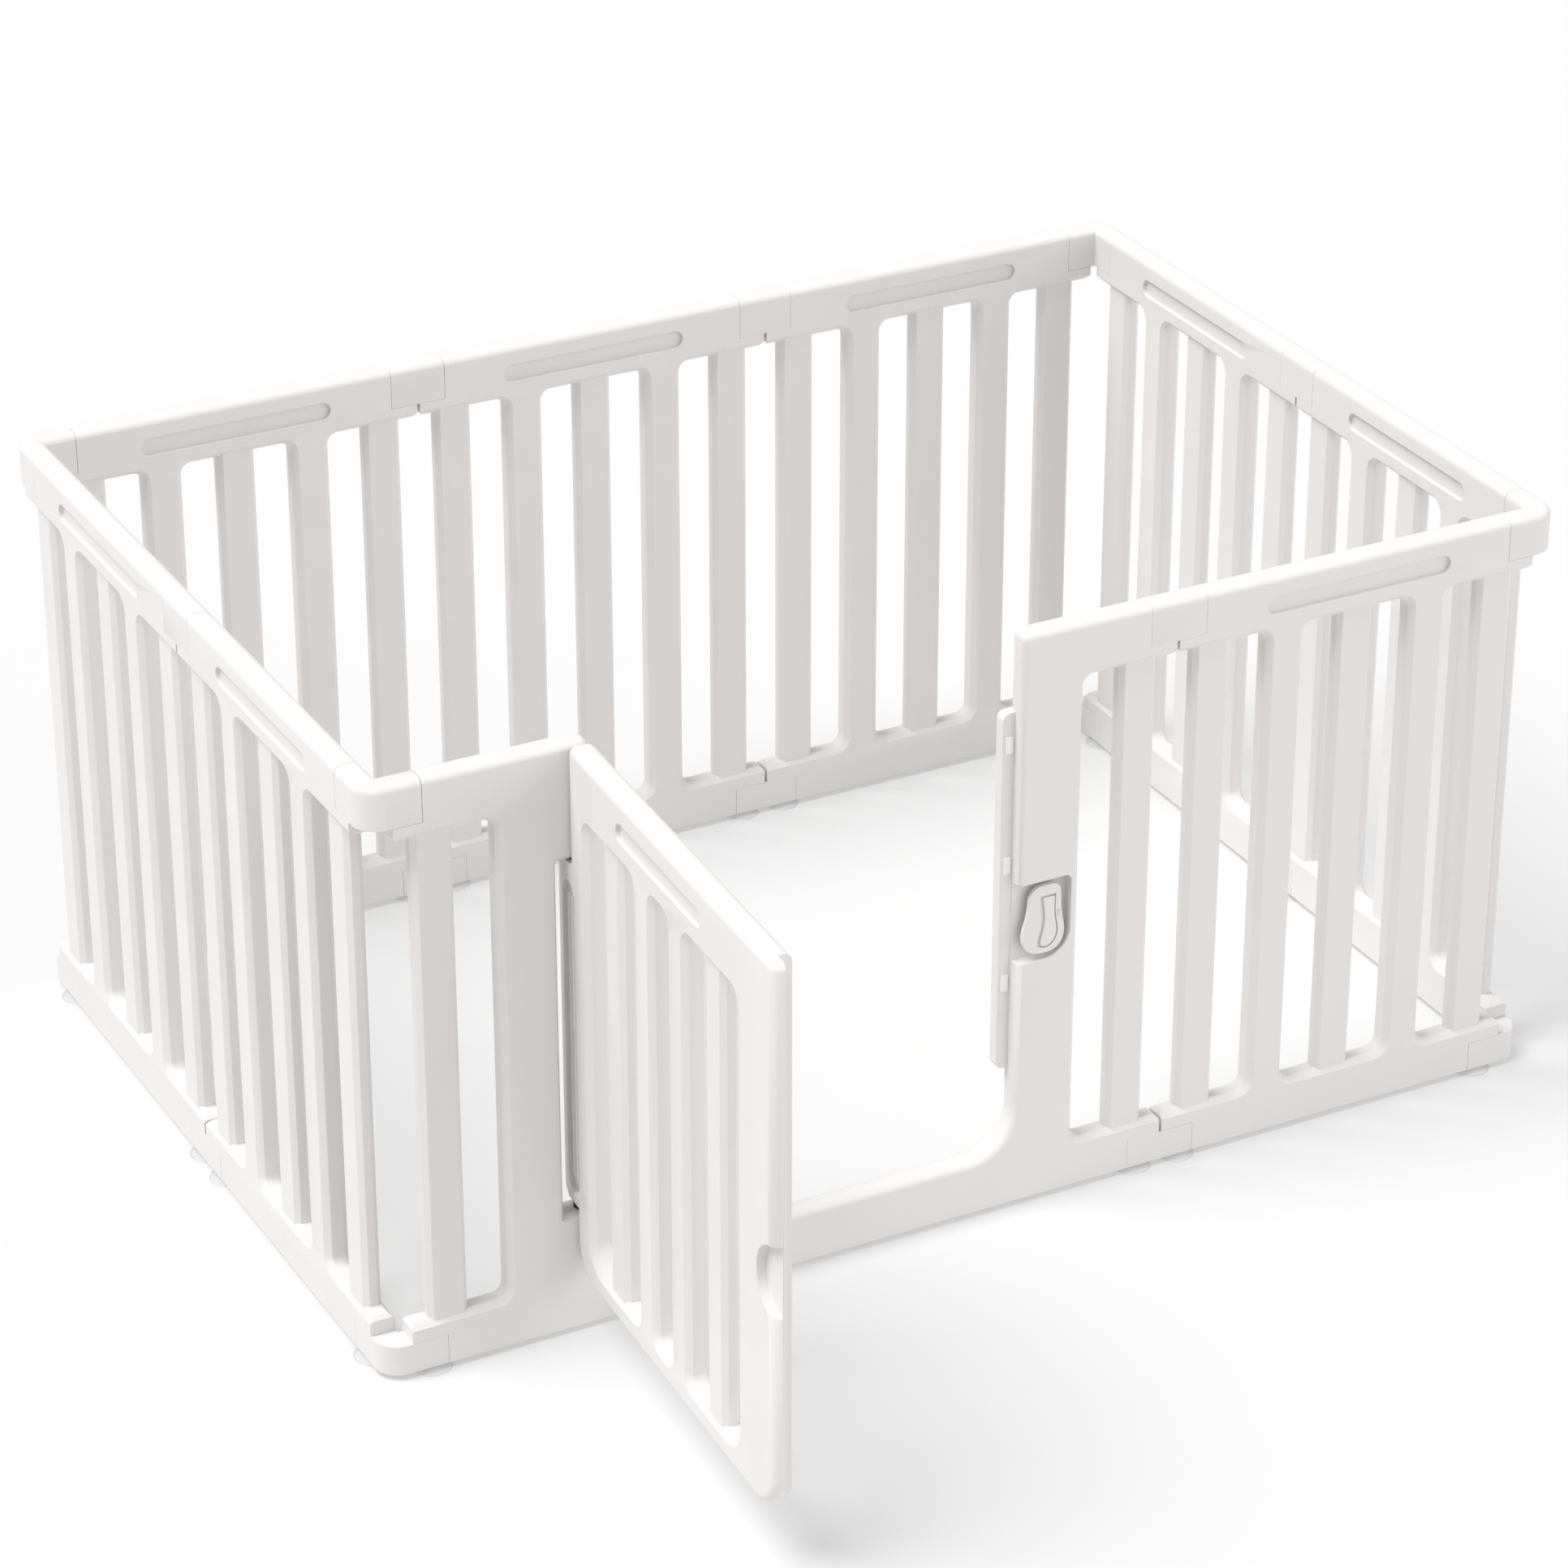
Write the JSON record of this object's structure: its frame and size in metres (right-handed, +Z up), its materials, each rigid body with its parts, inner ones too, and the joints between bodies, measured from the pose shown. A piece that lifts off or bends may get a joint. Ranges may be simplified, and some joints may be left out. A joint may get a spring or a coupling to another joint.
{
  "type": "pet playpen",
  "caption": "Rectangular white plastic pet playpen of barred panels joined by clip-in connectors, with a side-hinged door, a turning latch and clear suction-cup feet.",
  "frame": {"origin": "on the floor under the middle of the outline, open door included, so the pen's own middle is 213.93 mm behind it", "axes": "+X along the pen's long side towards the latch side of the doorway, -Y out of the doorway, +Z up"},
  "size_m": [1.27, 1.2978, 0.614],
  "materials": {
    "white_plastic": "satin",
    "clear_cup": "gloss",
    "black_nylon": "satin",
    "buffer": "satin",
    "steel": "satin"
  },
  "bodies": {
    "pen": {"back_panel_left": "white_plastic", "back_panel_middle": "white_plastic", "back_panel_right": "white_plastic", "corner_cap_back_left": "white_plastic", "corner_cap_back_right": "white_plastic", "corner_cap_front_left": "white_plastic", "corner_cap_front_right": "white_plastic", "corner_cups_back_left": "clear_cup", "corner_cups_back_right": "clear_cup", "corner_cups_front_left": "clear_cup", "corner_cups_front_right": "clear_cup", "corner_foot_back_left": "white_plastic", "corner_foot_back_right": "white_plastic", "corner_foot_front_left": "white_plastic", "corner_foot_front_right": "white_plastic", "door_frame": "white_plastic", "front_panel": "white_plastic", "hinge_bush_bottom": "black_nylon", "hinge_bush_top": "black_nylon", "hinge_pin_bottom": "black_nylon", "hinge_pin_top": "black_nylon", "joint_cap_back_left": "white_plastic", "joint_cap_back_right": "white_plastic", "joint_cap_front": "white_plastic", "joint_cap_left": "white_plastic", "joint_cap_right": "white_plastic", "joint_cups_back_left": "clear_cup", "joint_cups_back_right": "clear_cup", "joint_cups_front": "clear_cup", "joint_cups_left": "clear_cup", "joint_cups_right": "clear_cup", "joint_foot_back_left": "white_plastic", "joint_foot_back_right": "white_plastic", "joint_foot_front": "white_plastic", "joint_foot_left": "white_plastic", "joint_foot_right": "white_plastic", "left_panel_back": "white_plastic", "left_panel_front": "white_plastic", "right_panel_back": "white_plastic", "right_panel_front": "white_plastic", "strike_pads": "buffer"},
    "door": {"door": "white_plastic"},
    "latch": {"latch_plate": "white_plastic", "latch_washer": "steel", "latch_screw": "steel"}
  },
  "joints": [
    {"name": "door_hinge", "type": "hinge", "parent": "pen", "child": "door", "pos_m": [-0.418, -0.20157, 0.3125], "axis": [0, 0, 1], "range_deg": [0, 93]},
    {"name": "latch_turn", "type": "hinge", "parent": "pen", "child": "latch", "pos_m": [0.062, -0.21007, 0.318], "axis": [0, 1, 0], "range_deg": [0, 90]}
  ]
}
